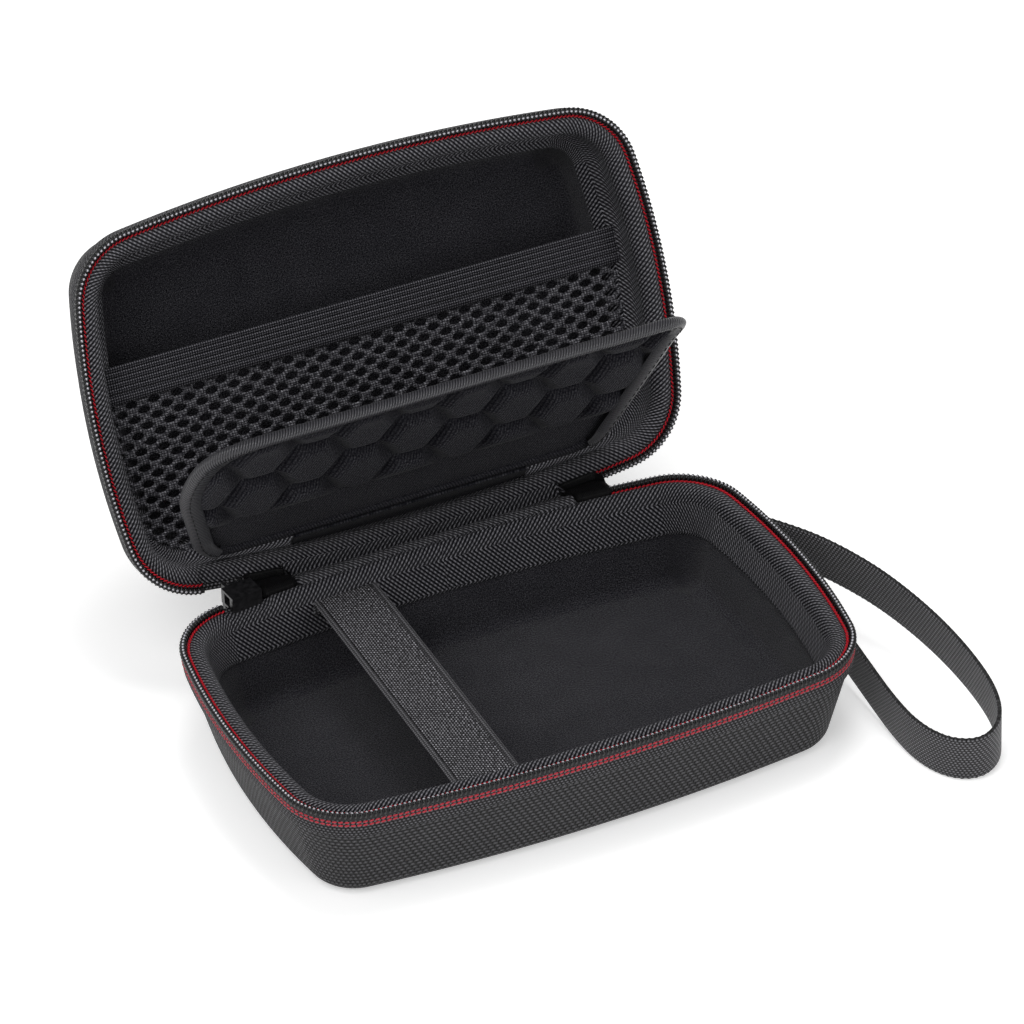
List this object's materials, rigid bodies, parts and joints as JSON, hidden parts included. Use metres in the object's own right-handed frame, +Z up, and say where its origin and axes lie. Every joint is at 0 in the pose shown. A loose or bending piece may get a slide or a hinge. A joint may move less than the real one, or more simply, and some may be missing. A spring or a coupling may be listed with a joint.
{
  "type": "zip storage case",
  "caption": "Open moulded zip case in dark cloth with a lidded mesh pocket, padded divider flap, elastic retaining band and webbing wrist strap.",
  "frame": {"origin": "middle of the base's flat underside", "axes": "+Z up, +Y towards the hinge, +X towards the wrist strap"},
  "size_m": [0.2004, 0.1975, 0.127],
  "materials": {
    "outer_cloth": "basket-woven nylon over foam",
    "twill_binding": "herringbone twill tape",
    "zip_coil": "nylon coil",
    "elastic_cloth": "ribbed elastic",
    "slider_metal": "black enamel",
    "mesh_cloth": "knitted mesh",
    "lining_cloth": "short-pile lining",
    "grey_binding": "grosgrain ribbon",
    "webbing": "flat webbing"
  },
  "bodies": {
    "base": {"base_shell": "outer_cloth", "base_binding": "twill_binding", "base_zip_coil": "zip_coil", "retaining_band": "elastic_cloth", "hinge_strip": "twill_binding", "zip_end_tab_left": "elastic_cloth", "zip_end_tab_right": "elastic_cloth", "zip_slider": "slider_metal", "wrist_strap": "webbing", "strap_tab": "webbing"},
    "lid": {"lid_shell": "outer_cloth", "lid_binding": "twill_binding", "lid_zip_coil": "zip_coil", "mesh_pocket": "mesh_cloth", "pocket_elastic": "elastic_cloth"},
    "divider": {"divider_pad": "lining_cloth", "divider_binding": "grey_binding", "divider_fold": "elastic_cloth"},
    "pull": {"zip_pull": "slider_metal"}
  },
  "joints": [
    {"name": "lid_hinge", "type": "hinge", "parent": "base", "child": "lid", "pos_m": [0, 0.0549, 0.0279], "axis": [-1, 0, 0], "range_deg": [-113, 30], "deforming": ["hinge_strip"]},
    {"name": "divider_hinge", "type": "hinge", "parent": "lid", "child": "divider", "pos_m": [0, 0.07334, 0.02886], "axis": [1, 0, 0], "range_deg": [-44, 12]},
    {"name": "pull_hinge", "type": "hinge", "parent": "base", "child": "pull", "pos_m": [-0.05841, 0.05616, 0.0332], "axis": [0.9942, 0.1072, 0], "range_deg": [0, 20]}
  ],
  "couplings": [
    {"joint": "divider_hinge", "follows": "lid_hinge", "ratio": 0.389}
  ]
}
